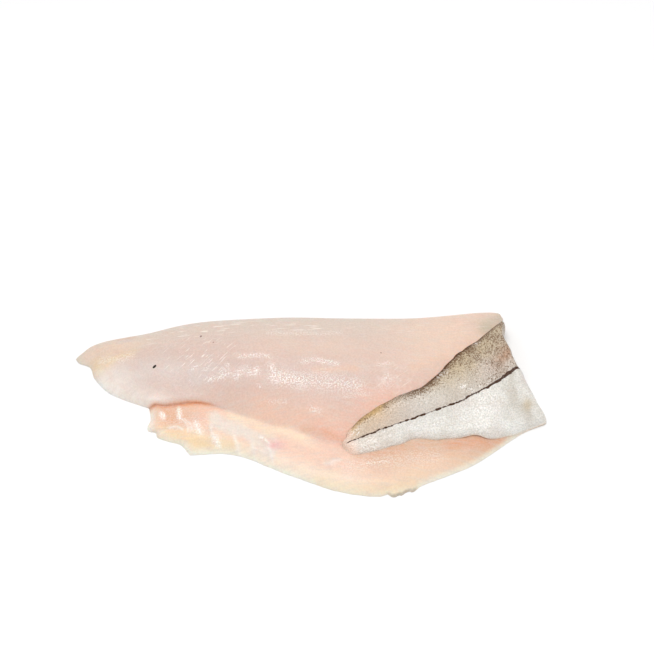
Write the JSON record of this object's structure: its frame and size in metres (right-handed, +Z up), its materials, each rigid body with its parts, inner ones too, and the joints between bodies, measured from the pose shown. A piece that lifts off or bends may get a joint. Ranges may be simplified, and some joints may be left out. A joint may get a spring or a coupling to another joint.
{
  "type": "haddock fillet",
  "caption": "Raw skin-on haddock fillet lying skin side down, thick pale loin and thin torn belly flap, with its tail folded over so that the speckled skin and dark lateral line show.",
  "frame": {"origin": "under the middle of the fillet's box, on the surface that it lies on", "axes": "+X from the head end towards the fold, +Y towards the back of the fish, +Z up out of the surface"},
  "size_m": [0.2294, 0.101, 0.0203],
  "materials": {
    "flesh": "wet raw fish flesh, with skin on the underside and over the folded tail"
  },
  "bodies": {
    "root": {"fillet": "flesh"}
  },
  "joints": []
}
